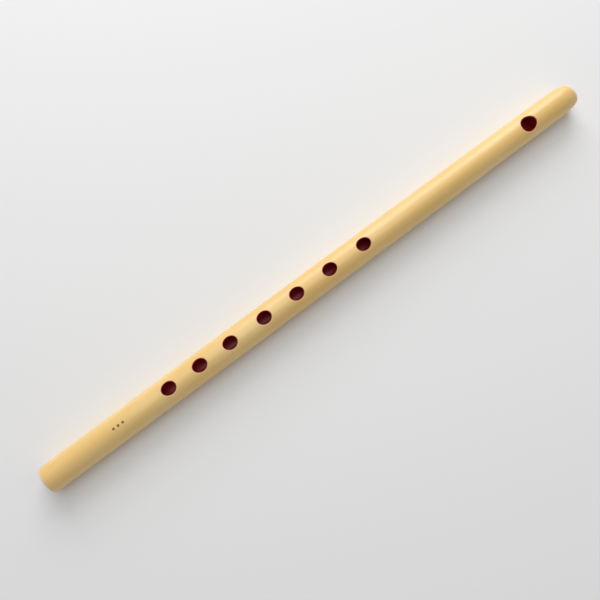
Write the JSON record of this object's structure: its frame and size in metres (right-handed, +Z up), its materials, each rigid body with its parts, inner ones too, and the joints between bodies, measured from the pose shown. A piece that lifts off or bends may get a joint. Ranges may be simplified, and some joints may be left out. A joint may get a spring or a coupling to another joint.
{
  "type": "bamboo transverse flute",
  "caption": "Slim plain bamboo transverse flute: smooth tapering tube open at the foot, stopped and rounded at the head, with a blow hole and a row of oval finger holes lined in dark red lacquer.",
  "frame": {"origin": "on the surface the flute lies on, under the middle of its length", "axes": "+X along the flute from the foot end to the head end, +Z up out of the finger holes"},
  "size_m": [0.4, 0.018, 0.018],
  "materials": {
    "bamboo": "smooth satin bamboo skin, pale yellow, with fine lengthwise fibres",
    "lacquer": "dark red brushed lacquer, glossy",
    "beeswax": "cast wax, satin",
    "cork": "cut cork, matt",
    "plug_wood": "sanded end grain, matt"
  },
  "bodies": {
    "root": {"bamboo_culm": "bamboo", "lacquer_lining": "lacquer", "wax_seal": "beeswax", "cork_stopper": "cork", "head_plug": "plug_wood"}
  },
  "joints": []
}
